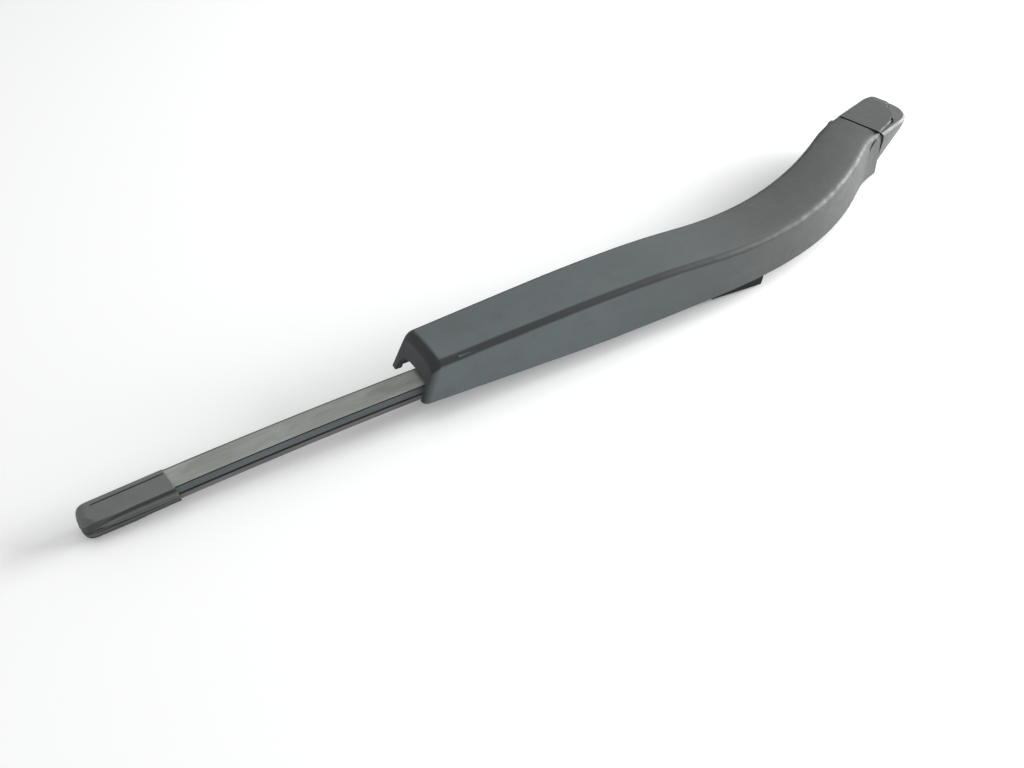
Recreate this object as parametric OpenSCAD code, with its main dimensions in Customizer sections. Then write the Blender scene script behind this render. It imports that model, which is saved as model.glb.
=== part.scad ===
// Rear wiper arm with its blade.
// The origin is the axis of the pivot bore, at the level of the head's foot.
// +Z points up, away from the glass, and the straight part of the arm lies along -X.

/* [Arm] */
// Length of the arm along its centre line, from the fold axis to the mouth
arm_l = 262.8; // [220:0.2:300]
// Radius of the long bend in plan
bend_r = 200; // [200:5:320]
// Angle that the long bend turns through
bend_turn = 30.4; // [18:0.1:36]
// Straight stretch between the two bends
mid_l = 9.6; // [2:0.2:20]
// Radius of the short bend behind the head
neck_r = 57; // [40:1:90]
// Angle that the short bend turns back
neck_turn = 14.7; // [6:0.1:18]
// Width of the roof where it is widest
arm_w = 26.2; // [24:0.1:28]
// Height of the roof above the foot where it is highest
arm_h = 30.5; // [30:0.1:34]
// Height of the rim above the foot at the mouth
rim_h = 11; // [9:0.1:12]
// Outward lean of the side walls
wall_draft = 6; // [3:0.5:8]
// Thickness of the side walls
wall_t = 2.2; // [1.8:0.1:2.6]
// Thickness of the roof
roof_t = 2.2; // [1.8:0.1:2.6]
// Radius of the soft edge between roof and walls
edge_r = 3.5; // [2.6:0.1:4.2]

/* [Head] */
// Height of the roof and nut cover over the foot at the head
head_h = 26.5; // [25.6:0.1:27.5]
// Height of the head's rim
head_rim_h = 26; // [25.4:0.1:26.2]
// Width of the head at its rim
head_w = 25.1; // [24.6:0.1:27]
// Distance from the pivot axis to the tip of the head
head_tip = 18.2; // [17.4:0.1:20]
// Diameter of the boss round the pivot
boss_d = 16.4; // [16:0.1:18]
// Distance from the pivot axis to the fold axis
fold_back = 17; // [16.6:0.1:19]
// Depth of the fold axis under the roof, which is the radius of the arm's rounded end
fold_r = 7; // [6.6:0.1:7.6]

/* [Pivot] */
// Outer diameter of the steel insert
insert_d = 12.4; // [12:0.1:12.8]
// Diameter of the insert's bore for the shaft
stud_bore_d = 8.3; // [8:0.1:9]

/* [Fold joint] */
// Diameter of the fold pin
fold_pin_d = 4.4; // [4:0.1:5]
// Largest fold angle of the arm
fold_max = 38; // [20:1:45]
// Diameter of the pins that hold the spring
spring_pin_d = 4; // [3:0.1:4.4]
// Mean diameter of the spring's coils
spring_d = 8; // [7:0.2:9]
// Diameter of the spring's wire
spring_wire_d = 1.4; // [1:0.1:1.6]
// Turns of the spring
spring_turns = 20; // [12:1:22]
// Diameter of the link's wire
link_d = 2.4; // [2:0.1:2.8]

/* [Blade] */
// Length of the blade with its end caps
blade_l = 282.6; // [240:0.2:300]
// Height of the blade's arch while nothing presses on it
bow_h = 6.1; // [4:0.1:6.6]
// Width of the blade's flat top
blade_w = 9.2; // [8.4:0.1:10]
// Height of the blade from its lip to its flat top
blade_h = 9.9; // [9.4:0.1:10.2]
// Height of the rubber below the carrier
rubber_h = 5; // [4.6:0.1:5.2]
// Diameter of the blade's pin
blade_pin_d = 4; // [3.4:0.1:4.4]
// Length of the outer end cap
cap_l = 30.6; // [24:0.2:40]
// Length of the inner end cap
heel_l = 26; // [18:1:34]

/* [Hidden] */

// Colours
plastic_dark = "#4a4e50";
plastic_light = "#6a6e70";
plastic_black = "#1d1e1f";
steel = "#9aa0a4";
rubber_black = "#2a2b2c";

// Clearances
running_gap = 0.05;
seat_gap = 0.02;
part_gap = 0.3;
slide_gap = 0.1;
cut = 1;

round_fn = 36;
small_fn = 16;

// Shares of the arm's length, from the fold axis to the mouth, at which its section is given
station_shares = [0, 0.135, 0.24, 0.342, 0.46, 0.592, 0.727, 0.88, 1];
// Shares that follow the roof from the head's height to the highest point and down to the mouth
top_shares = [0, 0, -0.12, -0.08, 0.29, 0.96, 0.91, 0.44, -0.03];
// Shares of the rim's height
rim_shares = [0.27, 0.34, 0.47, 0.66, 0.78, 0.75, 0.74, 0.85, 0.97];
// Shares of the roof's width
width_shares = [0.88, 0.95, 0.99, 1, 0.981, 0.976, 0.949, 0.89, 0.852];
// Half of the stretch over which the section is smoothed, as a share of the arm's length
smooth_share = 0.07;

// Mouth of the arm
nose_in = 7;
nose_r = 3;
nose_side_share = 0.5;
nose_t = 2.6;
mouth_skew_share = 0.074;
lean_l = 46;
arch_h = 7.8;
arch_w = 18.4;
arch_r = 4.6;
arch_near_w = 20.4;
arch_near_r = 2.2;
roof_crown = 0.5;

// Facets of the arm's loft
top_steps = 3;
edge_steps = 6;
ring_steps = 38;
nose_steps = 5;

neck_l = neck_r * neck_turn * PI / 180;
bend_l = bend_r * bend_turn * PI / 180;
head_turn = bend_turn - neck_turn;
fold_z = head_h - fold_r;

// Displacement along an arc while its heading goes from a0 to a1
function arc_step(r, a0, a1) = let (s = a1 > a0 ? 1 : -1)
    [s * r * (sin(a1) - sin(a0)), -s * r * (cos(a1) - cos(a0))];
function heading(a) = [cos(a), sin(a)];

// Heading of the arm's centre line at the distance s from the fold axis
function arm_dir(s) =
    s < 0 ? head_turn
    : s < neck_l ? head_turn + s / neck_l * neck_turn
    : s < neck_l + mid_l ? bend_turn
    : s < neck_l + mid_l + bend_l ? bend_turn * (1 - (s - neck_l - mid_l) / bend_l)
    : 0;

fold_xy = -fold_back * heading(head_turn);
neck_xy = fold_xy - arc_step(neck_r, head_turn, bend_turn);
mid_xy = neck_xy - mid_l * heading(bend_turn);
bend_xy = mid_xy - arc_step(bend_r, bend_turn, 0);

// Place of the arm's centre line at the distance s from the fold axis
function arm_xy(s) =
    s < 0 ? fold_xy - s * heading(head_turn)
    : s < neck_l ? fold_xy - arc_step(neck_r, head_turn, arm_dir(s))
    : s < neck_l + mid_l ? neck_xy - (s - neck_l) * heading(bend_turn)
    : s < neck_l + mid_l + bend_l ? mid_xy - arc_step(bend_r, bend_turn, arm_dir(s))
    : bend_xy - [s - neck_l - mid_l - bend_l, 0];

// A value read from a list of shares, smoothed over its neighbours
function clamp(t) = min(max(t, 0), 1);
function sum(v) = v * [for (x = v) 1];
smooth_weights = [1, 2, 3, 4, 3, 2, 1];
function soft(t, shares) = sum([for (k = [0:6]) smooth_weights[k]
    * lookup(clamp(t + (k - 3) / 3 * smooth_share),
        [for (i = [0:len(shares) - 1]) [station_shares[i], shares[i]]])]) / sum(smooth_weights);

function top_z(s) = head_h + (arm_h - head_h) * soft(s / arm_l, top_shares);
function rim_z(s) = rim_h * soft(s / arm_l, rim_shares);
function roof_w(s) = arm_w * soft(s / arm_l, width_shares);

// One half of a section, from the middle of the roof to the rim.
// w is the width where roof and wall would meet, zt and zr are the heights of roof and rim.
function half_section(w, zt, zr, r, crown) =
    let (tl = r / tan((90 + wall_draft) / 2), flat = w / 2 - tl, zc = zt - crown)
    concat(
        [for (k = [0:top_steps - 1]) let (v = flat * k / top_steps)
            [v, zt - crown * pow(2 * v / w, 2)]],
        [for (k = [0:edge_steps]) let (a = 90 - (90 - wall_draft) * k / edge_steps)
            [flat + r * cos(a), zc - r + r * sin(a)]],
        [[w / 2 + (zc - zr) * tan(wall_draft), zr]]);
function joined(near, far) = concat(
    [for (i = [len(near) - 1:-1:1]) [-near[i][0], near[i][1]]], far);
function full_section(h) = joined(h, h);

// A ring of the loft at the distance s. drop is how far the outside is drawn in at the nose.
function lean(s) = let (t = clamp((s - arm_l + nose_in + lean_l) / lean_l))
    nose_in * t * t * (3 - 2 * t);
function outer_section(s, drop) = full_section(half_section(
    roof_w(s) - 2 * drop * nose_side_share, top_z(s) - drop, rim_z(s), edge_r, roof_crown));
function inner_section(s) = full_section(half_section(
    roof_w(s) - 2 * wall_t, top_z(s) - roof_t, rim_z(s), max(edge_r - wall_t, wall_t / 2),
    roof_crown));
function arch_half(s, w, r) = half_section(
    w - 2 * arch_h * tan(wall_draft), rim_z(s) + arch_h, rim_z(s), r, roof_crown);
function arch_section(s) = joined(arch_half(s, arch_near_w, arch_near_r), arch_half(s, arch_w, arch_r));
function reverse(v) = [for (i = [len(v) - 1:-1:0]) v[i]];
function ring(s, drop, arched) =
    let (zt = top_z(s), h = zt - rim_z(s),
        pts = concat(outer_section(s, drop), reverse(arched ? arch_section(s) : inner_section(s))))
    [for (p = pts)
        let (sp = s + lean(s) * ((zt - p[1]) / h + mouth_skew_share * p[0] / nose_in),
            c = arm_xy(sp), a = arm_dir(sp))
        [c[0] - p[0] * sin(a), c[1] + p[0] * cos(a), p[1]]];

// A closed solid through rings of equal length, where each ring is an open channel
function channel_faces(rings, n) = concat(
    [for (i = [0:rings - 2], j = [0:n - 1]) let (k = (j + 1) % n)
        each [[i * n + j, (i + 1) * n + j, (i + 1) * n + k], [i * n + j, (i + 1) * n + k, i * n + k]]],
    [for (j = [0:n / 2 - 2]) each [[j, j + 1, n - 2 - j], [j, n - 2 - j, n - 1 - j]]],
    [for (j = [0:n / 2 - 2]) let (b = (rings - 1) * n)
        each [[b + j, b + n - 2 - j, b + j + 1], [b + j, b + n - 1 - j, b + n - 2 - j]]]);

mouth_s = arm_l - nose_in - nose_r;
arm_start = -fold_r - cut;
module arm_loft() {
    inner_end = mouth_s + nose_r - nose_t;
    rings = concat(
        [for (i = [0:ring_steps]) ring(arm_start + (inner_end - arm_start) * i / ring_steps, 0, false)],
        [for (i = [0:nose_steps]) let (a = 90 * i / nose_steps,
            s0 = inner_end + slide_gap, s1 = mouth_s + nose_r)
            ring(s0 + (s1 - s0) * sin(a), nose_r * (1 - cos(a)), true)]);
    polyhedron([for (r = rings) each r], channel_faces(len(rings), len(rings[0])), convexity = 6);
}

// Frame of the head, with X towards the tip
module head_frame() {
    rotate([0, 0, head_turn]) children();
}
// Frame of the fold axis, with the axis along Y
module fold_frame() {
    head_frame() translate([-fold_back, 0, fold_z]) children();
}
// Frame of the arm at the distance s, at the height z
module arm_frame(s, z) {
    c = arm_xy(s);
    translate([c[0], c[1], z]) rotate([0, 0, arm_dir(s)]) children();
}
// A cylinder along Y, from y0 to y1
module cross(y0, y1, d, fn = round_fn) {
    translate([0, y0, 0]) rotate([-90, 0, 0]) cylinder(h = y1 - y0, d = d, $fn = fn);
}

// Ears of the head, bushes and bosses along the fold axis
ear_in = 4.6;
ear_out = 7.6;
bush_t = 0.5;
bush_flange_t = 0.4;
bush_flange_d = 8;
boss_in = ear_out + bush_flange_t + slide_gap;
fold_boss_d = 8.4;
ear_d = 8.2;
hook_x = 2;
hook_drop = 13;
near_pin_end = 10.4;
far_pin_end = 10.9;

// Seats of the blade's pin in the arm
blade_turn = -0.6;
blade_pin_in = 21.7;
blade_side = 3.63;
blade_x = arm_xy(arm_l)[0] + blade_pin_in;
blade_y = arm_xy(arm_l)[1] - blade_side;
blade_pin_z = 19.5;
clip_in = 5;
clip_t = 2.4;
clip_w = 10;
clip_mouth_share = 0.8;
clip_bottom = 16.4;
clip_top = 26;
heel_room = 1.3;
heel_rise = 7.9;
heel_room_h = 20;

// Spring anchor in the arm
anchor_room = 14.8;
anchor_s = arm_l - blade_pin_in - blade_l / 2 - anchor_room;
anchor_z = 15.5;
anchor_boss_d = 7.4;
anchor_gap = 9;
anchor_half = 10.3;

module blade_frame() {
    translate([blade_x, blade_y, 0]) rotate([0, 0, blade_turn]) children();
}

module fold_boss(side) {
    w = roof_w(0) / 2 + roof_t / 2;
    fold_frame() cross(side > 0 ? boss_in : -w, side > 0 ? w : -boss_in, fold_boss_d);
}

module blade_clip(side) {
    y = side > 0 ? clip_in : -clip_in - clip_t;
    blade_frame() translate([-clip_w / 2, y, clip_bottom]) cube([clip_w, clip_t, clip_top - clip_bottom]);
}

module arm_shell() color(plastic_dark) difference() {
    union() {
        arm_loft();
        fold_boss(1);
        fold_boss(-1);
        arm_frame(anchor_s, anchor_z) {
            cross(anchor_gap / 2, anchor_half + wall_t / 2, anchor_boss_d);
            cross(-anchor_half - wall_t / 2, -anchor_gap / 2, anchor_boss_d);
        }
        blade_clip(1);
        blade_clip(-1);
    }
    // The end over the fold axis is rounded about it, so that it clears the nut cover
    fold_frame() rotate([90, 0, 0]) linear_extrude(height = 2 * head_w, center = true) difference() {
        square([2 * fold_r, 2 * fold_r]);
        circle(r = fold_r, $fn = round_fn);
    }
    fold_frame() translate([fold_r, -head_w, -head_h]) cube([2 * fold_r, 2 * head_w, head_h + cut]);
    // The pins go in from the far side
    fold_frame() cross(-near_pin_end - slide_gap, head_w, fold_pin_d + 2 * seat_gap);
    arm_frame(anchor_s, anchor_z) cross(-anchor_half - slide_gap, head_w, spring_pin_d + 2 * seat_gap);
    // Room for the blade's heel inside the near wall
    blade_frame() translate([blade_l / 2 - heel_l - heel_room, 0, -cut]) {
        translate([0, -heel_near - part_gap, 0])
            cube([heel_l + 2 * heel_room, heel_near, heel_step + heel_rise + cut]);
        translate([0, -heel_half - part_gap - slide_gap, 0])
            cube([heel_l + 2 * heel_room, heel_near, heel_room_h + cut]);
    }
    // The blade's pin snaps in from below
    blade_frame() translate([0, 0, blade_pin_z]) {
        cross(-clip_in - clip_t - cut, clip_in + clip_t + cut, blade_pin_d + 2 * running_gap);
        mouth = blade_pin_d * clip_mouth_share;
        translate([-mouth / 2, -clip_in - clip_t - cut, -blade_pin_z + clip_bottom - cut])
            cube([mouth, 2 * (clip_in + clip_t + cut), blade_pin_z - clip_bottom + cut]);
    }
}

// Head
head_side = -0.35;
near_corner_r = 11.5;
far_corner_r = 5;
corner_steps = 6;
skirt_low = 9;
skirt_tilt = 35;
lip_low = 22.4;
head_edge_h = 23.8;
rim_bevel = 2.6;
floor_high = 12.4;
boss_top = 14.6;
bowl_d = 15.6;
floor_w = 12.8;
ear_foot = 0.4;
front_x = -fold_back + fold_r + part_gap;
cup_start = -fold_back - fold_r / 2;

function corner(cx, cy, r, a0, a1) = [for (k = [0:corner_steps])
    let (a = a0 + (a1 - a0) * k / corner_steps) [cx + r * cos(a), cy + r * sin(a)]];

// Plan of the head, drawn in by d and cut off at x0
function head_plan(d, x0) = let (y0 = head_side - head_w / 2 + d, y1 = head_side + head_w / 2 - d,
    x1 = head_tip - d, rn = near_corner_r - d, rf = far_corner_r - d)
    concat([[x0, y0]], corner(x1 - rn, y0 + rn, rn, -90, 0), corner(x1 - rf, y1 - rf, rf, 0, 90), [[x0, y1]]);

// Plan of the nut cover, drawn in by d. Its near corner is cut off between two arcs.
cover_tip = 12.6;
cover_far = 9.6;
cover_far_r = 3.2;
cover_near = -12.3;
cover_low_x = 1.5;
cover_low_y = -9.9;
cover_tip_y = 0.4;
cover_near_r = 5;
cover_cut_turn = 43;
function cover_near_at(x) = cover_low_y
    + (cover_near - cover_low_y) * (cover_low_x - x) / (cover_low_x - cup_start);
function cover_plan(d, x0) = let (rn = cover_near_r - d, rf = cover_far_r - d, x1 = cover_tip - d)
    concat([[x0, cover_near_at(x0) + d]],
        corner(cover_low_x, cover_low_y + cover_near_r, rn, -90, cover_cut_turn - 90),
        corner(cover_tip - cover_near_r, cover_tip_y, rn, cover_cut_turn - 90, 0),
        corner(x1 - rf, cover_far - d - rf, rf, 0, 90), [[x0, cover_far - d]]);
cover_t = 1.7;
cover_edge = 0.4;
ledge_z = head_h - cover_t - seat_gap;
ledge_in = 1.2;
// Two slots in the cover's near corner take the tool that lifts it
slot_l = 2.4;
slot_w = 1.6;
slot_deep = 2.6;
slots = [[9.6, -3.4], [0.2, -10.4]];
module cover_slots() {
    for (p = slots) translate([p[0], p[1], head_h - slot_deep - cover_t])
        cube([slot_l, slot_w, slot_deep + 2 * cover_t]);
}

// Room that the arm's rounded end and roof need while the arm folds up
module fold_sweep() {
    translate([-fold_back, 0, fold_z]) {
        cross(-head_w, head_w, 2 * (fold_r + part_gap));
        rotate([0, fold_max, 0]) translate([-2 * head_w, -head_w, 0])
            cube([2 * head_w, 2 * head_w, fold_r + slide_gap]);
    }
}
module half_space(x, z, tilt) {
    translate([x, 0, z]) rotate([0, -tilt, 0])
        translate([-head_tip, -head_w, -4 * head_h]) cube([5 * head_tip, 2 * head_w, 4 * head_h]);
}
module head_cup() {
    difference() {
        hull() {
            difference() {
                linear_extrude(height = head_edge_h) polygon(head_plan(0, front_x - cut));
                half_space(front_x, skirt_low, skirt_tilt);
            }
            translate([0, 0, lip_low]) linear_extrude(height = head_edge_h - lip_low)
                polygon(head_plan(0, 0));
            translate([0, 0, head_edge_h]) linear_extrude(height = head_rim_h - head_edge_h)
                polygon(head_plan(rim_bevel, cup_start));
            cylinder(h = cut, d = bowl_d, $fn = round_fn);
        }
        hull() {
            translate([-boss_d, -floor_w / 2, floor_high]) cube([boss_d + floor_w / 2, floor_w, cut]);
            translate([0, 0, lip_low]) linear_extrude(height = head_rim_h - lip_low)
                polygon(cover_plan(ledge_in, cup_start - cut));
        }
        // Seat of the nut cover, open on the near side and at the near corner
        translate([0, 0, ledge_z]) linear_extrude(height = head_h) {
            polygon(cover_plan(-part_gap, cup_start - cut));
            translate([cup_start - cut, -2 * head_w]) square([3 * head_tip, 2 * head_w + cover_low_y]);
            translate([cover_low_x, -2 * head_w]) square([2 * head_tip, 2 * head_w + cover_tip_y]);
        }
        cover_slots();
        fold_sweep();
        translate([cup_start - cut, -head_w, -cut])
            cube([front_x - cup_start + cut, 2 * head_w, fold_z + cut]);
        translate([cup_start - cut, -head_w, fold_z - cut])
            cube([-fold_back - cup_start + cut, 2 * head_w, head_h]);
    }
}

module ear_profile() {
    circle(d = ear_d, $fn = round_fn);
    translate([-ear_d / 2 + slide_gap, -hook_drop]) square([ear_d - 2 * slide_gap, hook_drop]);
    translate([hook_x, -hook_drop]) circle(d = ear_d - slide_gap, $fn = round_fn);
    translate([hook_x, ear_foot - fold_z])
        square([fold_back - hook_x, fold_z - ear_foot - hook_drop + ear_d / 2]);
}

module pivot_head() color(plastic_light) head_frame() difference() {
    union() {
        head_cup();
        cylinder(h = boss_top, d = boss_d, $fn = round_fn);
        for (side = [-1, 1])
            translate([-fold_back, side * (ear_in + ear_out) / 2, fold_z]) rotate([90, 0, 0])
                linear_extrude(height = ear_out - ear_in, center = true) ear_profile();
    }
    translate([0, 0, -cut]) cylinder(h = head_h, d = insert_d + 2 * seat_gap, $fn = round_fn);
    translate([-fold_back, 0, fold_z]) cross(-head_w, head_w, fold_pin_d + 4 * bush_t);
    translate([-fold_back + hook_x, 0, fold_z - hook_drop])
        cross(-ear_out - cut, ear_out + cut, spring_pin_d + 2 * seat_gap);
}

module pivot_insert() color(steel) difference() {
    cylinder(h = boss_top, d = insert_d, $fn = round_fn);
    translate([0, 0, -cut]) cylinder(h = head_h, d = stud_bore_d, $fn = round_fn);
}

module fold_bush(side) color(steel) fold_frame() difference() {
    union() {
        cross(side > 0 ? ear_in : -ear_out, side > 0 ? ear_out : -ear_in,
            fold_pin_d + 4 * bush_t - 2 * seat_gap);
        cross(side > 0 ? ear_out : -ear_out - bush_flange_t, side > 0 ? ear_out + bush_flange_t : -ear_out,
            bush_flange_d);
    }
    cross(-head_w, head_w, fold_pin_d + 2 * running_gap);
}
module fold_bush_left() fold_bush(-1);
module fold_bush_right() fold_bush(1);

module head_hook_pin() color(steel) fold_frame() translate([hook_x, 0, -hook_drop])
    cross(-ear_out, ear_out, spring_pin_d);

module fold_pin() color(steel) fold_frame() cross(-near_pin_end, far_pin_end, fold_pin_d);

module spring_anchor_pin() color(steel) arm_frame(anchor_s, anchor_z)
    cross(-anchor_half, anchor_half, spring_pin_d);

// Line of pull, from the hook pin in the head to the anchor pin in the arm
hook_xy = fold_xy + hook_x * heading(head_turn);
hook_pt = [hook_xy[0], hook_xy[1], fold_z - hook_drop];
anchor_pt = [arm_xy(anchor_s)[0], arm_xy(anchor_s)[1], anchor_z];
pull = anchor_pt - hook_pt;
pull_l = norm(pull);
module pull_frame() {
    translate(hook_pt) rotate([0, -asin(pull[2] / pull_l), atan2(pull[1], pull[0])]) children();
}
link_share = 0.28;
coil_start = link_share * pull_l;
coil_end_gap = 9;
plug_l = 7;
coil_l = pull_l - coil_start - coil_end_gap;
wire_sides = 5;
coil_steps = 10;

// A tube swept along a coil whose axis is X
function coil_point(t) = let (a = 360 * spring_turns * t)
    [coil_start + coil_l * t, spring_d / 2 * cos(a), spring_d / 2 * sin(a)];
function coil_ring(t) = let (a = 360 * spring_turns * t, c = coil_point(t))
    [for (j = [0:wire_sides - 1]) let (b = 360 * j / wire_sides)
        c + spring_wire_d / 2 * [sin(b), cos(b) * cos(a), cos(b) * sin(a)]];
function tube_faces(rings, n) = concat(
    [for (i = [0:rings - 2], j = [0:n - 1]) let (k = (j + 1) % n)
        each [[i * n + j, i * n + k, (i + 1) * n + k], [i * n + j, (i + 1) * n + k, (i + 1) * n + j]]],
    [[for (j = [n - 1:-1:0]) j], [for (j = [0:n - 1]) (rings - 1) * n + j]]);
module eye(d_in, wire) {
    rotate([90, 0, 0]) rotate_extrude($fn = round_fn) translate([d_in / 2 + running_gap + wire / 2, 0])
        circle(d = wire, $fn = small_fn);
}
eye_reach = spring_pin_d / 2 + running_gap + spring_wire_d / 2;
module tension_spring() color(steel) pull_frame() {
    count = spring_turns * coil_steps;
    rings = [for (i = [0:count]) coil_ring(i / count)];
    polyhedron([for (r = rings) each r], tube_faces(len(rings), wire_sides), convexity = 10);
    // End wire across the last turn and out to the anchor
    translate([coil_start + coil_l, 0, 0]) {
        cross(-spring_wire_d / 2, spring_d / 2, spring_wire_d, small_fn);
        rotate([0, 90, 0]) cylinder(h = coil_end_gap - eye_reach, d = spring_wire_d, $fn = small_fn);
    }
    translate([pull_l, 0, 0]) eye(spring_pin_d, spring_wire_d);
}

link_eye_reach = spring_pin_d / 2 + running_gap + link_d / 2;
module spring_link() color(steel) pull_frame() {
    eye(spring_pin_d, link_d);
    translate([link_eye_reach, 0, 0]) rotate([0, 90, 0])
        cylinder(h = coil_start - link_eye_reach, d = link_d, $fn = small_fn);
    translate([coil_start - spring_wire_d, 0, 0]) rotate([0, 90, 0])
        cylinder(h = plug_l, d = spring_d - spring_wire_d - 2 * slide_gap, $fn = round_fn);
}

// Nut cover, with a skirt that snaps into the head's opening
skirt_t = 1.2;
skirt_h = 2.2;
module nut_cover() color(plastic_dark) head_frame() difference() {
    union() {
        translate([0, 0, head_h - cover_t]) linear_extrude(height = cover_t - cover_edge)
            polygon(cover_plan(0, cup_start));
        translate([0, 0, head_h - cover_t]) linear_extrude(height = cover_t)
            polygon(cover_plan(cover_edge, cup_start));
        translate([0, 0, head_h - cover_t - skirt_h]) linear_extrude(height = skirt_h + cover_t / 2)
            difference() {
                polygon(cover_plan(ledge_in + slide_gap, front_x));
                polygon(cover_plan(ledge_in + skirt_t, front_x - cut));
            }
    }
    fold_sweep();
    translate([cup_start - cut, -head_w, 0]) cube([-fold_back - cup_start + cut, 2 * head_w, 2 * head_h]);
    cover_slots();
}

// Blade. Its pieces are swept along the bow, and h counts up from the line of the lip.
bow_r = (pow(blade_l / 2, 2) + pow(bow_h, 2)) / (2 * bow_h);
function bow_z(x) = sqrt(pow(bow_r, 2) - pow(x, 2)) - bow_r + bow_h;
bow_steps = 20;
module bowed(x0, x1) {
    a0 = asin(x0 / bow_r);
    a1 = asin(x1 / bow_r);
    translate([0, 0, bow_h - bow_r]) rotate([90, 0, 0]) rotate([0, 0, 90 - a1])
        rotate_extrude(angle = a1 - a0, $fn = ceil(bow_steps * 360 / (a1 - a0)))
            translate([bow_r, 0]) children();
}
function mirrored(p) = concat(p, [for (i = [len(p) - 1:-1:0]) [p[i][0], -p[i][1]]]);

// Section of the blade
holder_t = 1;
claw_t = 1.1;
lip_w = 1;
neck_w = 2.4;
shoulder_w = 9.2;
shoulder_h = 2.2;
lip_share = 0.8;
head_rubber_w = 3.2;
groove_d = 0.5;
groove_w = 0.35;
strip_t = 0.6;
claw_gap = 0.4;
holder_low = rubber_h + claw_gap;
slot_low = holder_low + claw_t;
slot_high = blade_h - strip_t - groove_w;
flexor_t = 0.9;
spine_end = 5;

module spine_section() {
    polygon(mirrored([
        [blade_h, 0],
        [blade_h, blade_w / 2 - strip_t / 2],
        [blade_h - strip_t / 2, blade_w / 2],
        [blade_h - strip_t, blade_w / 2],
        [blade_h - strip_t, blade_w / 2 - groove_d],
        [blade_h - strip_t - groove_w, blade_w / 2 - groove_d],
        [blade_h - strip_t - groove_w, blade_w / 2],
        [holder_low, blade_w / 2],
        [holder_low, neck_w / 2 + slide_gap],
        [slot_low, neck_w / 2 + slide_gap],
        [slot_low, blade_w / 2 - holder_t],
        [slot_high - strip_t, blade_w / 2 - holder_t],
        [slot_high - strip_t, 0]]));
}
module rubber_section() {
    polygon(mirrored([
        [0, lip_w / 4],
        [shoulder_h * lip_share, lip_w / 2],
        [shoulder_h, shoulder_w / 2 - lip_w / 2],
        [shoulder_h + lip_w / 2, shoulder_w / 2],
        [rubber_h, shoulder_w / 2],
        [rubber_h, neck_w / 2],
        [slot_low + slide_gap, neck_w / 2],
        [slot_low + slide_gap, head_rubber_w / 2],
        [slot_high - strip_t - slide_gap, head_rubber_w / 2]]));
}
rivet_d = 3;
rivet_x = 9;

module blade_spine() color("#5b5f60") blade_frame() difference() {
    bowed(-blade_l / 2 + spine_end, blade_l / 2 - spine_end) spine_section();
    for (side = [-1, 1])
        translate([side * rivet_x, 0, bow_h + slot_high - strip_t - cut])
            cylinder(h = blade_h, d = rivet_d + 2 * seat_gap, $fn = round_fn);
}

module flexor(side) color(steel) blade_frame()
    bowed(-blade_l / 2 + spine_end + cut, blade_l / 2 - spine_end - cut) {
        in = head_rubber_w / 2 + slide_gap;
        out = blade_w / 2 - holder_t - slide_gap;
        translate([slot_low + slide_gap, side > 0 ? -out : in]) square([flexor_t, out - in]);
    }
module flexor_left() flexor(1);
module flexor_right() flexor(-1);

module wiper_rubber() color(rubber_black) blade_frame()
    bowed(-blade_l / 2 + spine_end / 2, blade_l / 2 - spine_end / 2) rubber_section();

// Outer end cap
cap_top = 10.6;
cap_low = 1.3;
cap_near = 6.2;
cap_far = 5.5;
cap_in = 1;
cap_out = 0.4;
cap_run = 2;
flange_near = 7.8;
flange_far = 5.9;
flange_h = 2.2;
flange_in = 1.6;
cap_corner_r = 3.8;
scoop_r = 3.4;
scoop_h = 6.8;
scoop_in = 1.15;
scoop_turn = 4;
cap_line_w = 0.5;
cap_line_d = 0.3;
cap_line_in = 1.9;
cap_line_share = 0.8;
cap_skew = 1.6;

// Plan of a cap, from its near side at -yn to its far side at yf
function cap_plan(yn, yf, x0, x1, r) = concat(
    corner(x0 + r, yf - r, r, 90, 180), corner(x0 + r, -yn + r, r, 180, 270),
    [[x1 + cap_skew, -yn], [x1, yf]]);
module cap_level(h, t, yn, yf, x0, x1, r) {
    translate([0, 0, h]) linear_extrude(height = t) polygon(cap_plan(yn, yf, x0, x1, r));
}
// Room for the blade's end in a cap. The bow is too slight to show over a cap's length.
module blade_pocket(x0, x1, clear) {
    xm = (x0 + x1) / 2;
    w = max(blade_w, shoulder_w) + 2 * clear;
    translate([xm, 0, bow_z(xm)]) rotate([0, asin(xm / bow_r), 0]) {
        translate([-(x1 - x0) / 2, -w / 2, -blade_h]) cube([x1 - x0, w, 2 * blade_h + clear]);
    }
}
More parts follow.
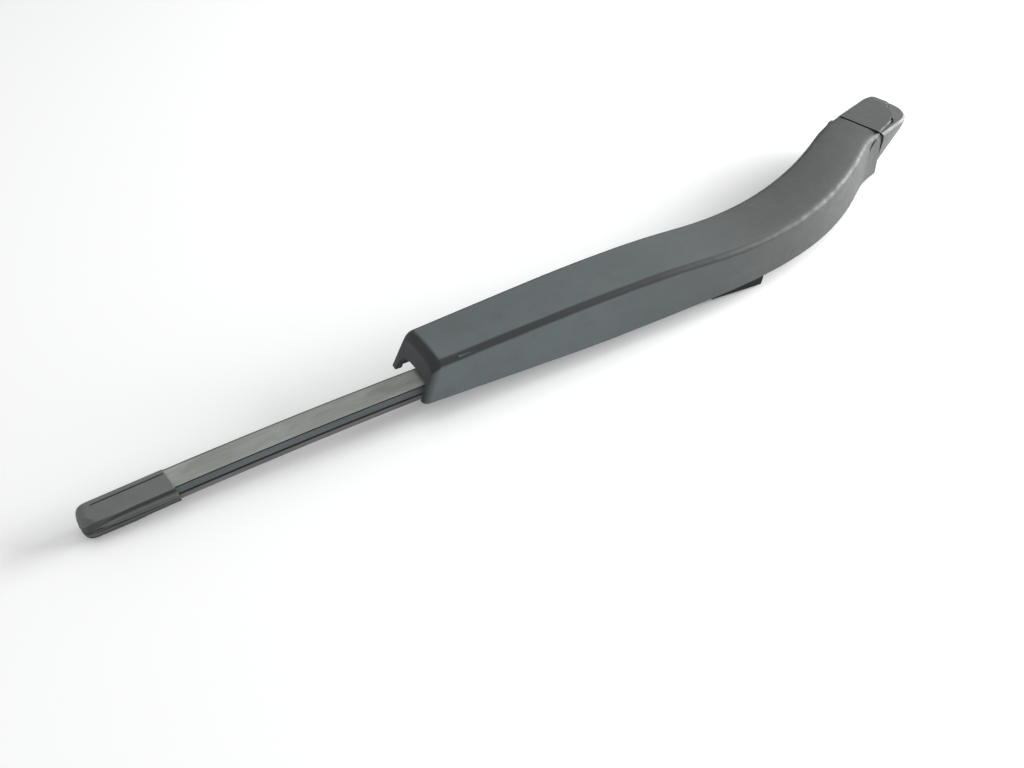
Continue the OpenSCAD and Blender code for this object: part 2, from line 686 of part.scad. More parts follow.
// Frame of a cap's outer end at xe, with its middle at xm
module cap_frame(xe, xm) {
    translate([xe, 0, bow_z(xm) - abs(xe - xm) * tan(asin(abs(xm) / bow_r))])
        rotate([0, asin(xm / bow_r), 0]) children();
}
module outer_end_cap() color("#54585a") blade_frame() difference() {
    cap_frame(-blade_l / 2, -blade_l / 2 + cap_l / 2) difference() {
        union() {
            hull() {
                cap_level(cap_low + flange_h, cap_in, cap_near + cap_in / 2, cap_far, cap_in,
                    cap_l + cap_run, cap_corner_r);
                cap_level(cap_top - 2 * cap_in, cap_in, cap_near, cap_far, cap_out, cap_l + cap_in / 2,
                    cap_corner_r);
                cap_level(cap_top - cap_in, cap_in, cap_near - cap_in, cap_far - cap_in / 2,
                    cap_out + cap_in, cap_l, cap_corner_r);
            }
            hull() {
                cap_level(cap_low, cap_in, flange_near - cap_in, flange_far - cap_in, flange_in + cap_in,
                    cap_l - cap_run, cap_corner_r);
                cap_level(cap_low + flange_h - cap_in, cap_in, flange_near, flange_far, flange_in,
                    cap_l + cap_run, cap_corner_r);
            }
        }
        // Finger hollow on the near side, and a line along the far edge of the top
        translate([cap_l, -cap_near - scoop_r + scoop_in, scoop_h]) rotate([0, 0, scoop_turn])
            rotate([0, -90, 0]) cylinder(h = 2 * cap_l, r = scoop_r, center = true, $fn = round_fn);
        translate([cap_l * (1 - cap_line_share) / 2, cap_far - cap_line_in, cap_top - cap_line_d])
            cube([cap_l * cap_line_share, cap_line_w, cut]);
    }
    blade_pocket(-blade_l / 2 + spine_end / 2 - part_gap, -blade_l / 2 + 2 * cap_l, seat_gap);
}

// Inner end cap, on the heel under the arm
heel_top = 10.9;
heel_low = 0.8;
heel_half = 5;
heel_near = 6;
heel_step = 5.2;
heel_in = 1;
module inner_end_cap() color(plastic_black) blade_frame() difference() {
    cap_frame(blade_l / 2, blade_l / 2 - heel_l / 2) mirror([1, 0, 0]) {
        hull() {
            cap_level(heel_low, heel_top - heel_low - heel_in, heel_half, heel_half, 0, heel_l, heel_in);
            cap_level(heel_low, heel_top - heel_low, heel_half - heel_in, heel_half - heel_in, heel_in,
                heel_l, heel_in / 2);
        }
        cap_level(heel_low, heel_step - heel_low, heel_near, heel_half, 0, heel_l, heel_in);
    }
    blade_pocket(blade_l / 2 - 2 * heel_l, blade_l / 2 - spine_end / 2 + part_gap, seat_gap);
}

// Bracket on the middle of the blade
bracket_l = 26;
bracket_t = 1.3;
bracket_w = 8.6;
bracket_head_d = 7;
module blade_bracket() color(plastic_black) blade_frame() difference() {
    union() {
        translate([-bracket_l / 2, -bracket_w / 2, bow_h + blade_h + seat_gap])
            cube([bracket_l, bracket_w, bracket_t]);
        translate([0, 0, blade_pin_z]) rotate([90, 0, 0])
            linear_extrude(height = bracket_w, center = true) {
                circle(d = bracket_head_d, $fn = round_fn);
                polygon([[-bracket_head_d / 2, 0], [bracket_head_d / 2, 0],
                    [bracket_head_d, bow_h + blade_h + bracket_t / 2 - blade_pin_z],
                    [-bracket_head_d, bow_h + blade_h + bracket_t / 2 - blade_pin_z]]);
            }
    }
    translate([0, 0, blade_pin_z]) cross(-blade_w, blade_w, blade_pin_d + 2 * seat_gap);
    for (side = [-1, 1]) translate([side * rivet_x, 0, 0])
        cylinder(h = 2 * head_h, d = rivet_d + 2 * seat_gap, $fn = round_fn);
}
rivet_head_d = 4.8;
rivet_head_t = 0.8;
module bracket_rivets() color(steel) blade_frame() for (side = [-1, 1])
    translate([side * rivet_x, 0, bow_h + slot_high - strip_t + slide_gap]) {
        top = blade_h + bracket_t - slot_high + strip_t;
        cylinder(h = top, d = rivet_d, $fn = round_fn);
        translate([0, 0, top]) cylinder(h = rivet_head_t, d1 = rivet_head_d, d2 = rivet_d, $fn = round_fn);
    }

module blade_pin() color(steel) blade_frame() translate([0, 0, blade_pin_z])
    cross(-clip_in - clip_t, clip_in + clip_t, blade_pin_d);

pivot_head();
pivot_insert();
fold_bush_left();
fold_bush_right();
head_hook_pin();
arm_shell();
fold_pin();
spring_anchor_pin();
tension_spring();
spring_link();
nut_cover();
blade_spine();
flexor_left();
flexor_right();
wiper_rubber();
outer_end_cap();
inner_end_cap();
blade_bracket();
bracket_rivets();
blade_pin();
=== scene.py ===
from math import asin, cos, radians, sin, tan

import bpy
import numpy as np
from mathutils import Matrix, Vector


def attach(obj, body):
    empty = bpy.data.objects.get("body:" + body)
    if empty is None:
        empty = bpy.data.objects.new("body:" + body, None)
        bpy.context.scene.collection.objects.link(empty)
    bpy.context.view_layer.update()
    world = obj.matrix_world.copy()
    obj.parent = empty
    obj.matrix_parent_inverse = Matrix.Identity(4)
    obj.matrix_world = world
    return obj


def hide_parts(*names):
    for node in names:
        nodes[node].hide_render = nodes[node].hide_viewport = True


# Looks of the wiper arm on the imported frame. Metres, in the frame of the CAD: the origin is the
# pivot axis at the foot of the head, +Z is up, and the straight part of the arm lies along -X.

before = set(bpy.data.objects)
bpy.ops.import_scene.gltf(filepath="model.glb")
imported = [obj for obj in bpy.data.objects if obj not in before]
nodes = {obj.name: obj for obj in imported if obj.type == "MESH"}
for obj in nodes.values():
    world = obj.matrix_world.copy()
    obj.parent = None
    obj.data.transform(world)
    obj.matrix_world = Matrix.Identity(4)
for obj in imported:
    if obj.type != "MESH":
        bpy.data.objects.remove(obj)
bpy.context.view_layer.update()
scene = bpy.context.scene
MM = 0.001
# Middle of the blade in plan, its turn, length, bow and the radius of the bow, as in the CAD
BLADE_AT, BLADE_TURN = (-0.250032, -0.046296), -0.6
BLADE_L, BOW_H = 0.2826, 0.0061
BOW_R = (BLADE_L ** 2 / 4 + BOW_H ** 2) / (2 * BOW_H)

# Camera, from the perspective of the photograph
AZIMUTH, ELEVATION = radians(-29.2), radians(46)
LOOK_AT = Vector((-0.23272, -0.053, 0))
back = Vector((sin(AZIMUTH) * cos(ELEVATION), -cos(AZIMUTH) * cos(ELEVATION), sin(ELEVATION)))
cam_data = bpy.data.cameras.new("camera")
cam_data.sensor_fit = "HORIZONTAL"
cam_data.sensor_width = 36
cam_data.lens = 900 / 1024 * 36
camera = bpy.data.objects.new("camera", cam_data)
camera.location = LOOK_AT + 0.35 * back
camera.rotation_mode = "QUATERNION"
camera.rotation_quaternion = (-back).to_track_quat("-Z", "Y")
cam_data.clip_start, cam_data.clip_end = 0.01, 20
scene.collection.objects.link(camera)
scene.camera = camera
scene.view_settings.view_transform = "Standard"


# Node graphs of the materials

class Graph:
    """A material's node tree, with short calls for its nodes."""

    def __init__(self, name):
        self.material = bpy.data.materials.new(name)
        self.material.use_nodes = True
        self.tree = self.material.node_tree
        self.tree.nodes.clear()
        self.out = self.add("ShaderNodeOutputMaterial")
        self.place = self.add("ShaderNodeTexCoord").outputs["Object"]

    def add(self, kind, **props):
        n = self.tree.nodes.new(kind)
        for k, v in props.items():
            setattr(n, k, v)
        return n

    def put(self, socket, value):
        if isinstance(value, bpy.types.NodeSocket):
            self.tree.links.new(value, socket)
        else:
            socket.default_value = value

    def scaled(self, factors):
        n = self.add("ShaderNodeMapping")
        self.put(n.inputs["Vector"], self.place)
        self.put(n.inputs["Scale"], factors)
        return n.outputs[0]

    def noise(self, scale, detail=2.0, rough=0.5, at=None, warp=0.0):
        n = self.add("ShaderNodeTexNoise")
        self.put(n.inputs["Vector"], at or self.place)
        self.put(n.inputs["Scale"], scale)
        self.put(n.inputs["Detail"], detail)
        self.put(n.inputs["Roughness"], rough)
        self.put(n.inputs["Distortion"], warp)
        return n.outputs["Fac"]

    def along_x(self):
        n = self.add("ShaderNodeSeparateXYZ")
        self.put(n.inputs[0], self.place)
        return n.outputs[0]

    def blade_axis(self, direction):
        """Distance from the blade's middle along a level direction."""
        n = self.add("ShaderNodeVectorMath", operation="DOT_PRODUCT")
        self.put(n.inputs[0], self.place)
        self.put(n.inputs[1], (direction[0], direction[1], 0))
        return self.math("SUBTRACT", n.outputs["Value"], direction[0] * BLADE_AT[0] + direction[1] * BLADE_AT[1])

    def blade_side(self):
        """Distance from the blade's middle plane, towards the far side."""
        return self.blade_axis((-sin(radians(BLADE_TURN)), cos(radians(BLADE_TURN))))

    def blade_height(self):
        """Height over the bowed line of the lip."""
        n = self.add("ShaderNodeSeparateXYZ")
        self.put(n.inputs[0], self.place)
        along = self.blade_axis((cos(radians(BLADE_TURN)), sin(radians(BLADE_TURN))))
        sag = self.math("MULTIPLY", self.math("MULTIPLY", along, along), 0.5 / BOW_R)
        return self.math("SUBTRACT", self.math("ADD", n.outputs[2], sag), BOW_H)

    def ramp(self, value, lo, hi, a=0.0, b=1.0):
        n = self.add("ShaderNodeMapRange", interpolation_type="SMOOTHSTEP")
        self.put(n.inputs["Value"], value)
        for k, v in (("From Min", lo), ("From Max", hi), ("To Min", a), ("To Max", b)):
            self.put(n.inputs[k], v)
        return n.outputs[0]

    def math(self, op, a, b=0.0, clamp=False):
        n = self.add("ShaderNodeMath", operation=op, use_clamp=clamp)
        self.put(n.inputs[0], a)
        self.put(n.inputs[1], b)
        return n.outputs[0]

    def mix(self, share, a, b):
        n = self.add("ShaderNodeMix", data_type="RGBA")
        self.put(n.inputs[0], share)
        self.put(n.inputs[6], a)
        self.put(n.inputs[7], b)
        return n.outputs[2]

    def worn_edges(self, radius, lo, hi):
        """1 on edges that stand out or lie in, 0 on open faces."""
        bevel = self.add("ShaderNodeBevel", samples=6)
        self.put(bevel.inputs["Radius"], radius)
        geo = self.add("ShaderNodeNewGeometry")
        dot = self.add("ShaderNodeVectorMath", operation="DOT_PRODUCT")
        self.put(dot.inputs[0], bevel.outputs[0])
        self.put(dot.inputs[1], geo.outputs["Normal"])
        return self.ramp(dot.outputs["Value"], hi, lo), bevel.outputs[0]

    def upward(self):
        """1 where the surface faces up, 0 where it stands and -1 where it faces down."""
        n = self.add("ShaderNodeSeparateXYZ")
        self.put(n.inputs[0], self.add("ShaderNodeTexCoord").outputs["Normal"])
        return n.outputs[2]

    def hollow_shade(self, distance):
        """0 in narrow recesses and 1 in the open, from ambient occlusion: the mask of painted shade."""
        n = self.add("ShaderNodeAmbientOcclusion", samples=6)
        self.put(n.inputs["Distance"], distance)
        return self.ramp(n.outputs["AO"], 0.35, 0.85)

    def bump(self, height, strength, distance, normal=None):
        n = self.add("ShaderNodeBump")
        self.put(n.inputs["Height"], height)
        self.put(n.inputs["Strength"], strength)
        self.put(n.inputs["Distance"], distance)
        if normal is not None:
            self.put(n.inputs["Normal"], normal)
        return n.outputs[0]

    def surface(self, colour, rough, normal, metal=0.0, specular=0.5):
        n = self.add("ShaderNodeBsdfPrincipled")
        self.put(n.inputs["Base Color"], colour)
        self.put(n.inputs["Roughness"], rough)
        self.put(n.inputs["Metallic"], metal)
        self.put(n.inputs["Specular IOR Level"], specular)
        self.put(n.inputs["Normal"], normal)
        self.put(self.out.inputs["Surface"], n.outputs[0])
        return self.material


def rgb(level, tint=(1.0, 1.0, 1.0)):
    """A linear colour from an 8-bit level and a tint."""
    c = level / 255
    lin = c / 12.92 if c < 0.04045 else ((c + 0.055) / 1.055) ** 2.4
    return (lin * tint[0], lin * tint[1], lin * tint[2], 1.0)


NEUTRAL = (0.96, 1.0, 0.99)
TEAL = (0.84, 1.0, 1.02)
LEAF = (0.93, 1.0, 0.94)
# Between a sharp edge and an open face: the cosine that the rounded and the true normal make
WORN = (0.86, 0.995)


def plastic(name, level, rough=0.55, grain=0.25, wear=0.35, dust=0.1, far=None, specular=0.4, painted_shoulder_shade=0.0,
            painted_wall_shade=0.0):
    """Moulded plastic: broad tone, fine grain, rubbed edges, scuffs, a trace of dust and painted shade in
    recesses.

    The shoulder share paints shade on the rounded shoulder between top and side, the wall share paints shade
    on the faces that stand, and far paints the surface paler and cooler towards the mouth as a painted light
    gradient."""
    g = Graph(name)
    tint = NEUTRAL
    edge, rounded = g.worn_edges(0.35 * MM, *WORN)
    broad = g.ramp(g.noise(16, 3, 0.55), 0.32, 0.7)
    colour = g.mix(broad, rgb(max(level - 3, 1), tint), rgb(level + 4, tint))
    if far:
        # Painted light: the surface is painted paler and cooler towards the mouth and darker towards the head,
        # against the key lamp's stronger light at the head.
        painted_light_level, painted_light_tint = far
        along = g.ramp(g.along_x(), -0.09, -0.21)
        colour = g.mix(along, colour, g.mix(broad, rgb(painted_light_level - 3, painted_light_tint), rgb(painted_light_level + 4, painted_light_tint)))
    patch = g.ramp(g.noise(170, 4, 0.6), 0.45, 0.75)
    colour = g.mix(g.math("MULTIPLY", patch, 0.35), colour, rgb(level + 10, tint))
    rub = g.math("MULTIPLY", edge, g.ramp(g.noise(420, 3, 0.6), 0.35, 0.7))
    colour = g.mix(g.math("MULTIPLY", rub, wear), colour, rgb(level + 46, tint))
    scuff = g.ramp(g.noise(60, 5, 0.7, g.scaled((0.35, 3.2, 1.6)), 0.6), 0.62, 0.72)
    colour = g.mix(g.math("MULTIPLY", scuff, 0.16), colour, rgb(level + 34, tint))
    speck = g.ramp(g.noise(1500, 1, 0.4), 0.74, 0.8)
    colour = g.mix(g.math("MULTIPLY", speck, dust), colour, rgb(min(level + 80, 235)))
    if painted_shoulder_shade:
        # Painted shade: the rounded shoulder between top and side is painted darker.
        up = g.upward()
        shoulder = g.math("MULTIPLY", g.ramp(up, 0.99, 0.9), g.ramp(up, 0.2, 0.5))
        colour = g.mix(g.math("MULTIPLY", shoulder, painted_shoulder_shade), colour, rgb(level * 0.4, tint))
    if painted_wall_shade:
        # Painted shade: faces that stand or face down are painted darker.
        wall = g.ramp(g.upward(), 0.6, -0.1)
        colour = g.mix(g.math("MULTIPLY", wall, painted_wall_shade), colour, rgb(level * 0.3, tint))
    # Painted shade: narrow recesses, creases and grooves are painted darker.
    colour = g.mix(g.hollow_shade(1.4 * MM), rgb(level * 0.5, tint), colour)
    fine = g.noise(3800, 2, 0.6)
    rough_map = g.math("ADD", g.ramp(g.noise(240, 3), 0.3, 0.7, rough - 0.05, rough + 0.06),
                       g.math("MULTIPLY", rub, -0.08))
    normal = g.bump(g.noise(14, 2), 0.25, 0.0007, rounded)
    normal = g.bump(fine, grain, 0.00006, normal)
    return g.surface(colour, rough_map, normal, specular=specular)


def metal(name, level, rough=0.35, rust=0.0, tint=(1.0, 1.0, 1.0)):
    """Bright or coated steel with turning marks and a little tarnish."""
    g = Graph(name)
    edge, rounded = g.worn_edges(0.2 * MM, *WORN)
    tarnish = g.ramp(g.noise(260, 4, 0.65), 0.42, 0.72)
    colour = g.mix(tarnish, rgb(level, tint), rgb(level - 45, (1.03 * tint[0], tint[1], 0.95 * tint[2])))
    stain = g.ramp(g.noise(130, 5, 0.7), 0.56, 0.7)
    colour = g.mix(g.math("MULTIPLY", stain, rust), colour, (0.19, 0.085, 0.035, 1))
    colour = g.mix(g.math("MULTIPLY", edge, 0.4), colour, rgb(min(level + 30, 240), tint))
    lines = g.noise(900, 2, 0.5, g.scaled((0.12, 1, 1)))
    rough_map = g.math("ADD", g.ramp(lines, 0.3, 0.7, rough - 0.06, rough + 0.08),
                       g.math("MULTIPLY", tarnish, 0.16))
    normal = g.bump(lines, 0.2, 0.00003, rounded)
    return g.surface(colour, rough_map, normal, metal=1.0)


def rubber(name, level):
    """Dull rubber with a bloom and fine lines along the blade. Its shoulders are rubbed pale."""
    g = Graph(name)
    edge, rounded = g.worn_edges(0.25 * MM, *WORN)
    bloom = g.ramp(g.noise(90, 4, 0.6, g.scaled((0.3, 1, 1))), 0.4, 0.72)
    colour = g.mix(g.math("MULTIPLY", bloom, 0.5), rgb(level), rgb(level + 16))
    colour = g.mix(g.math("MULTIPLY", edge, 0.3), colour, rgb(level + 26))
    outer = g.ramp(g.math("ABSOLUTE", g.blade_side()), 3.6 * MM, 4.2 * MM)
    worn = g.math("MULTIPLY", outer, g.ramp(g.noise(70, 4, 0.6, g.scaled((0.2, 1, 1))), 0.3, 0.6, 0.7, 1))
    worn = g.math("MULTIPLY", worn, g.ramp(g.blade_height(), 4.9 * MM, 4.6 * MM))
    colour = g.mix(worn, colour, rgb(108, (1.02, 1.0, 0.95)))
    lines = g.noise(1400, 2, 0.5, g.scaled((0.05, 1, 1)))
    normal = g.bump(lines, 0.3, 0.00005, rounded)
    return g.surface(colour, g.ramp(g.noise(300, 3), 0.3, 0.7, 0.62, 0.78), normal, specular=0.3)


def carrier(name):
    """The blade's carrier: a top worn pale in patches, darker sides, and painted shade as black lines in the
    grooves and along the top's far edge.
    """
    g = Graph(name)
    edge, rounded = g.worn_edges(0.25 * MM, *WORN)
    height, side = g.blade_height(), g.blade_side()
    along = g.scaled((0.35, 1, 1))
    patch = g.ramp(g.noise(110, 5, 0.62, along, 0.4), 0.36, 0.66)
    top = g.mix(patch, rgb(140, (0.97, 1.0, 0.94)), rgb(160, LEAF))
    streak = g.ramp(g.noise(420, 4, 0.6, g.scaled((0.06, 1, 1))), 0.52, 0.74)
    top = g.mix(g.math("MULTIPLY", streak, 0.4), top, rgb(112, LEAF))
    speck = g.ramp(g.noise(1100, 2, 0.5), 0.68, 0.76)
    top = g.mix(g.math("MULTIPLY", speck, 0.35), top, rgb(188, (1, 1, 0.97)))
    # Painted shade: a dark line along the top's far edge.
    painted_rim_shade = g.ramp(side, 3.6 * MM, 3.9 * MM)
    top = g.mix(g.math("MULTIPLY", painted_rim_shade, 0.9), top, rgb(72, (1.04, 1.0, 1.0)))
    flank = g.mix(patch, rgb(84, TEAL), rgb(94, (0.9, 1.0, 1.04)))
    flank = g.mix(g.math("MULTIPLY", edge, 0.3), flank, rgb(112, TEAL))
    # Painted shade: black bands in the groove under the top and below the flank.
    flank = g.mix(g.ramp(height, 5.95 * MM, 5.7 * MM), flank, rgb(20))
    colour = g.mix(g.ramp(height, 8.68 * MM, 8.8 * MM), flank, rgb(20))
    colour = g.mix(g.ramp(height, 9.3 * MM, 9.36 * MM), colour, top)
    rough = g.ramp(g.noise(240, 3), 0.3, 0.7, 0.5, 0.62)
    normal = g.bump(g.noise(60, 4, 0.6, along), 0.25, 0.0002, rounded)
    normal = g.bump(g.noise(3800, 2, 0.6), 0.3, 0.00006, normal)
    return g.surface(colour, rough, normal, specular=0.4)


# The arm is painted with shade along its shoulder and painted paler towards the mouth, against the key lamp's
# light.
ARM = plastic("arm_plastic", 73, rough=0.56, grain=0.3, wear=0.12, dust=0.05, far=(97, TEAL), specular=0.3,
              painted_shoulder_shade=0.88)
HEAD = plastic("head_plastic", 88, rough=0.56, grain=0.25, wear=0.2, dust=0.08, specular=0.3)
COVER = plastic("cover_plastic", 74, rough=0.56, grain=0.3, wear=0.25, dust=0.05, specular=0.3)
# The cap's standing faces are painted with shade.
CAP = plastic("cap_plastic", 106, rough=0.55, grain=0.25, wear=0.4, dust=0.08, specular=0.3, painted_wall_shade=0.8)
HEEL = plastic("heel_plastic", 12, rough=0.6, grain=0.25, wear=0.15, dust=0.04, specular=0.2)
BRACKET = plastic("bracket_plastic", 36, rough=0.5, grain=0.25, wear=0.25, dust=0.08)
SPINE = carrier("spine_plastic")
BRIGHT = metal("bright_steel", 188, 0.32, 0.05)
BRONZE = metal("sintered_bronze", 178, 0.42, 0.0, (1.0, 0.72, 0.4))
SPRING = metal("spring_steel", 150, 0.38, 0.12)
FLEXOR = metal("strip_steel", 175, 0.3, 0.05)
RUBBER = rubber("blade_rubber", 40)

MATERIALS = {
    "pivot_head": HEAD, "pivot_insert": BRIGHT, "fold_bush_left": BRONZE, "fold_bush_right": BRONZE,
    "head_hook_pin": BRIGHT, "arm_shell": ARM, "fold_pin": BRIGHT,
    "spring_anchor_pin": BRIGHT, "tension_spring": SPRING, "spring_link": SPRING,
    "nut_cover": COVER, "blade_spine": SPINE, "flexor_left": FLEXOR, "flexor_right": FLEXOR,
    "wiper_rubber": RUBBER, "outer_end_cap": CAP, "inner_end_cap": HEEL, "blade_bracket": BRACKET,
    "bracket_rivets": BRIGHT, "blade_pin": BRIGHT,
}


def smooth_normals(obj, angle):
    """Shades faces that meet at less than the angle as one soft surface. No vertex moves."""
    me = obj.data
    n_loops, n_polys = len(me.loops), len(me.polygons)
    co = np.empty(len(me.vertices) * 3)
    me.vertices.foreach_get("co", co)
    key = np.round(co.reshape(-1, 3) * 1e6).astype(np.int64)
    _, place = np.unique(key, axis=0, return_inverse=True)
    place = place.reshape(-1)
    loop_vert = np.empty(n_loops, np.int64)
    me.loops.foreach_get("vertex_index", loop_vert)
    start = np.empty(n_polys, np.int64)
    total = np.empty(n_polys, np.int64)
    me.polygons.foreach_get("loop_start", start)
    me.polygons.foreach_get("loop_total", total)
    face_n = np.empty(n_polys * 3)
    area = np.empty(n_polys)
    me.polygons.foreach_get("normal", face_n)
    me.polygons.foreach_get("area", area)
    face_n = face_n.reshape(-1, 3)
    loop_face = np.repeat(np.arange(n_polys), total)
    loop_place = place[loop_vert]
    around = {}
    for loop in range(n_loops):
        around.setdefault(int(loop_place[loop]), []).append(int(loop_face[loop]))
    limit = cos(radians(angle))
    normals = np.empty((n_loops, 3))
    for loop in range(n_loops):
        own = face_n[loop_face[loop]]
        faces = np.array(around[int(loop_place[loop])])
        near = faces[face_n[faces] @ own > limit]
        total_n = (face_n[near] * area[near][:, None]).sum(0) if len(near) else own
        length = np.linalg.norm(total_n)
        normals[loop] = total_n / length if length > 1e-12 else own
    me.polygons.foreach_set("use_smooth", np.ones(n_polys, bool))
    me.normals_split_custom_set(normals)


for name, material in MATERIALS.items():
    obj = nodes[name]
    obj.data.materials.clear()
    obj.data.materials.append(material)
    smooth_normals(obj, 32)


# Outer end cap, lofted in its own frame: X runs in from the blade's end, Z stands on the top face

CAP_L = 30.6
NOSE_L, NOSE_RINGS, BODY_RINGS = 5.0, 14, 44
NOSE_TIP = 0.18          # share of the section that the flat at the nose's end keeps
CORE_Y, CORE_Z = 0.4, 5.6   # the line that the nose draws in to
CAP_MIDDLE = -BLADE_L / 2 + CAP_L * MM / 2


def table(x, *pairs):
    """A value read from pairs of place and value."""
    return float(np.interp(x, [p[0] for p in pairs], [p[1] for p in pairs]))


def cap_section(x):
    """Outline of the cap at x in millimetres, from the far foot over the top to the near foot."""
    groove = table(x, (5, 0), (6, 1), (29.5, 1), (30.5, 0))
    top = 10.6
    rim_y = table(x, (0, -4.2), (2.5, -4.9), (6.6, -5.15), (33, -5.3))
    rim_z = table(x, (0, 8.0), (3, 9.2), (5.2, 10.0), (12, 10.2), (33, 10.25))
    flat_y = table(x, (0, 0.4), (3, -1.8), (5.2, -4.0), (33, -4.5))
    edge_y = table(x, (0, -4.4), (2.5, -5.2), (6.6, -5.5), (33, -5.65))
    edge_z = table(x, (0, 6.4), (6.6, 7.4), (9.7, 8.9), (12.6, 9.6), (16.5, 9.85), (33, 9.9))
    scoop = table(x, (6.4, 0), (8, 0.45), (12, 0.8), (18, 0.88), (33, 0.8))
    ledge_y = table(x, (0, -4.6), (6.6, -5.6), (10.5, -5.85), (14.6, -6.0), (21, -6.15), (33, -6.25))
    ledge_z = table(x, (0, 5.6), (6.6, 6.7), (10.5, 6.1), (14, 5.95), (33, 5.75))
    under = table(x, (2.5, 0), (5.5, 1))
    foot_y = table(x, (0, -3.2), (4, -4.3), (16, -4.6), (26, -4.1), (33, -3.6))
    wall = edge_y + scoop
    return [
        (4.3, 1.35), (5.0, 2.1), (5.45, 3.2), (5.15, 4.0), (5.1, 6.4), (5.0, 8.8), (4.75, 9.7), (4.2, 10.2),
        (3.2, top - 0.15), (2.4, top - 0.12), (2.2, top - 0.14 - 0.45 * groove),
        (1.8, top - 0.1 - 0.45 * groove), (1.55, top - 0.03), (0.8 + 0.5 * flat_y, top),
        (flat_y + 0.25, top), (flat_y - 0.25, top - 0.05),
        ((flat_y + rim_y) / 2, top - 0.1 - 0.4 * (top - rim_z)), (rim_y, rim_z), (edge_y + 0.08, rim_z - 0.32),
        (edge_y, edge_z - 0.1), (edge_y + 0.45 * scoop, edge_z - 0.15 - 0.2 * (edge_z - ledge_z)),
        (wall, edge_z - 0.5 * (edge_z - ledge_z)), (wall - 0.02, ledge_z + 0.22 * (edge_z - ledge_z)),
        (0.55 * wall + 0.45 * ledge_y, ledge_z + 0.1), (ledge_y, ledge_z), (ledge_y - 0.04, ledge_z - 0.35),
        (ledge_y + 0.4 * under, ledge_z - 0.7), (ledge_y + 1.2 * under, 4.85),
        (ledge_y + 1.2 * under, 4.35), (-5.6 + 0.1 * under, 3.95), (-5.5, 3.0), (-5.0, 2.1), (foot_y, 1.35),
    ]


def rounded_line(points, steps):
    """A smooth line through the points."""
    out = []
    for i in range(len(points) - 1):
        p0, p1, p2, p3 = (np.array(points[min(max(k, 0), len(points) - 1)]) for k in (i - 1, i, i + 1, i + 2))
        for k in range(steps):
            t = k / steps
            out.append(0.5 * (2 * p1 + (p2 - p0) * t + (2 * p0 - 5 * p1 + 4 * p2 - p3) * t * t
                              + (3 * p1 - p0 - 3 * p2 + p3) * t ** 3))
    out.append(np.array(points[-1]))
    return out


def cap_frame():
    """From the cap's frame in millimetres to the world in metres."""
    tilt = asin(CAP_MIDDLE / BOW_R)
    height = (BOW_R ** 2 - CAP_MIDDLE ** 2) ** 0.5 - BOW_R + BOW_H
    foot = height - CAP_L * MM / 2 * tan(-tilt)
    return (Matrix.Translation((BLADE_AT[0], BLADE_AT[1], 0)) @ Matrix.Rotation(radians(BLADE_TURN), 4, "Z")
            @ Matrix.Translation((-BLADE_L / 2, 0, foot)) @ Matrix.Rotation(tilt, 4, "Y") @ Matrix.Scale(MM, 4))


def make_cap():
    """Nose, plateau with a groove, finger scoop with its ledge, and the flange along the foot."""
    places = [NOSE_L * (k / NOSE_RINGS) ** 2 for k in range(NOSE_RINGS + 1)]
    places += [NOSE_L + (CAP_L - NOSE_L) * k / BODY_RINGS for k in range(1, BODY_RINGS + 1)]
    rings = []
    for x in places:
        line = rounded_line(cap_section(x), 3)
        size = (1 - (1 - min(x / NOSE_L, 1)) ** 3) ** (1 / 3) if x > 0 else NOSE_TIP
        slant = 0 if x < NOSE_L else (x - NOSE_L) / (CAP_L - NOSE_L)
        rings.append([(x + slant * (0.6 - 0.2 * (p[0] - CORE_Y)), CORE_Y + (p[0] - CORE_Y) * size,
                       CORE_Z + (p[1] - CORE_Z) * size) for p in line])
    frame_of_cap = cap_frame()
    n = len(rings[0])
    verts = [frame_of_cap @ Vector(p) for ring in rings for p in ring]
    faces = [(i * n + j, i * n + (j + 1) % n, (i + 1) * n + (j + 1) % n, (i + 1) * n + j)
             for i in range(len(rings) - 1) for j in range(n)]
    faces.append(tuple(range(n - 1, -1, -1)))
    faces.append(tuple((len(rings) - 1) * n + j for j in range(n)))
    me = bpy.data.meshes.new("end_cap")
    me.from_pydata([tuple(v) for v in verts], [], faces)
    me.validate()
    me.update()
    me.materials.append(CAP)
    cap = bpy.data.objects.new("end_cap", me)
    scene.collection.objects.link(cap)
    smooth_normals(cap, 38)
    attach(cap, "blade")
    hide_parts("outer_end_cap")


make_cap()


# Floor and light

FLOOR_WHITE = 0.12       # glow of the floor that only the camera and gloss see


def floor_material():
    """A pale floor that takes the object's shadow, and that the camera and gloss see near white."""
    g = Graph("floor_white")
    plain = g.add("ShaderNodeBsdfDiffuse")
    g.put(plain.inputs["Color"], (0.93, 0.935, 0.94, 1))
    g.put(plain.inputs["Normal"], g.bump(g.noise(900, 2), 0.03, 0.00002))
    white = g.add("ShaderNodeEmission")
    path = g.add("ShaderNodeLightPath")
    seen = g.math("MAXIMUM", path.outputs["Is Camera Ray"], path.outputs["Is Transmission Ray"])
    seen = g.math("MAXIMUM", seen, path.outputs["Is Glossy Ray"])
    g.put(white.inputs["Strength"], g.math("MULTIPLY", seen, FLOOR_WHITE))
    both = g.add("ShaderNodeAddShader")
    g.put(both.inputs[0], plain.outputs[0])
    g.put(both.inputs[1], white.outputs[0])
    g.put(g.out.inputs["Surface"], both.outputs[0])
    return g.material


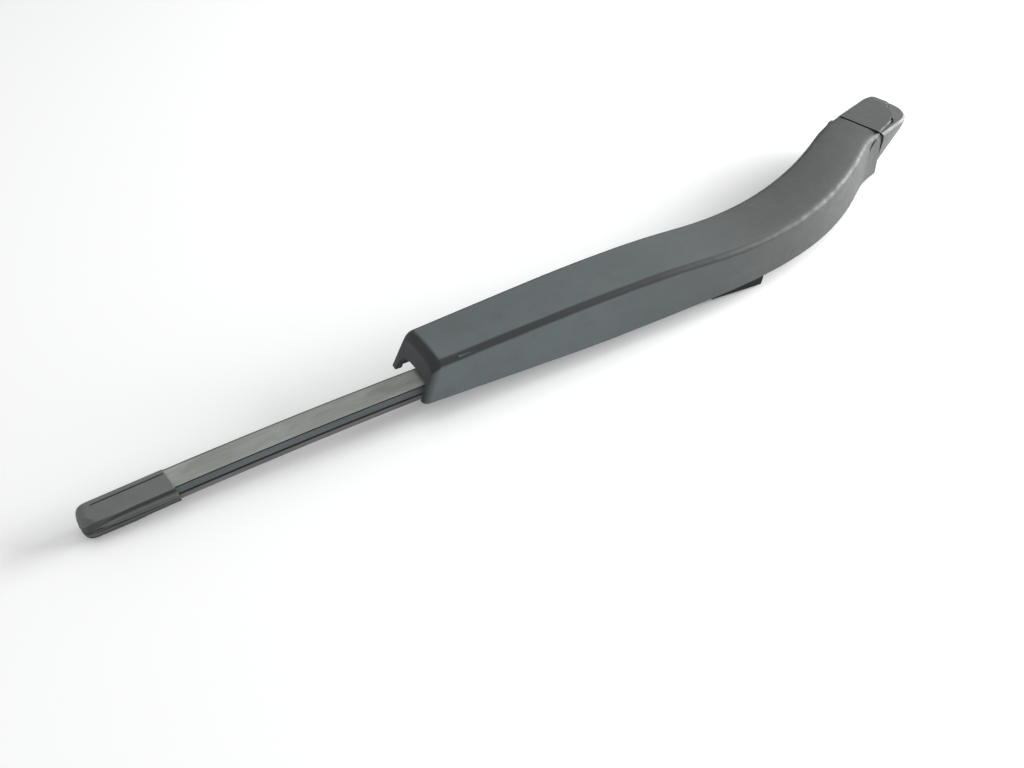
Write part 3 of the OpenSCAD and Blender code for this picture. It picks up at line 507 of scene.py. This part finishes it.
def stage_floor():
    me = bpy.data.meshes.new("floor")
    me.from_pydata([(-6, -6, 0), (6, -6, 0), (6, 6, 0), (-6, 6, 0)], [], [(0, 1, 2, 3)])
    floor = bpy.data.objects.new("floor", me)
    floor.location.z = -0.02 * MM
    scene.collection.objects.link(floor)
    me.materials.append(floor_material())


def world_light(strength):
    world = bpy.data.worlds.new("studio")
    scene.world = world
    world.use_nodes = True
    tree = world.node_tree
    tree.nodes.clear()
    out = tree.nodes.new("ShaderNodeOutputWorld")
    path = tree.nodes.new("ShaderNodeLightPath")
    seen = path.outputs["Is Camera Ray"]
    for kind in ("Is Transmission Ray", "Is Glossy Ray"):
        either = tree.nodes.new("ShaderNodeMath")
        either.operation = "MAXIMUM"
        tree.links.new(seen, either.inputs[0])
        tree.links.new(path.outputs[kind], either.inputs[1])
        seen = either.outputs[0]
    light = tree.nodes.new("ShaderNodeBackground")
    light.inputs["Color"].default_value = (1, 1, 1, 1)
    light.inputs["Strength"].default_value = strength
    white = tree.nodes.new("ShaderNodeBackground")
    white.inputs["Color"].default_value = (1, 1, 1, 1)
    white.inputs["Strength"].default_value = 1
    mix = tree.nodes.new("ShaderNodeMixShader")
    tree.links.new(seen, mix.inputs[0])
    tree.links.new(light.outputs[0], mix.inputs[1])
    tree.links.new(white.outputs[0], mix.inputs[2])
    tree.links.new(mix.outputs[0], out.inputs["Surface"])


def soft_box(name, at, towards, size, power):
    data = bpy.data.lights.new(name, "AREA")
    data.shape = "RECTANGLE"
    data.size, data.size_y = size
    data.energy = power
    lamp = bpy.data.objects.new(name, data)
    lamp.location = at
    lamp.rotation_mode = "QUATERNION"
    lamp.rotation_quaternion = (Vector(towards) - Vector(at)).to_track_quat("-Z", "Y")
    scene.collection.objects.link(lamp)


stage_floor()
world_light(0.4)
MIDDLE = (-0.2, -0.04, 0)
soft_box("key", (0.95, -0.25, 0.32), MIDDLE, (0.8, 0.5), 30)
soft_box("top", (-0.25, 0.1, 1.2), MIDDLE, (1.2, 0.8), 3.2)
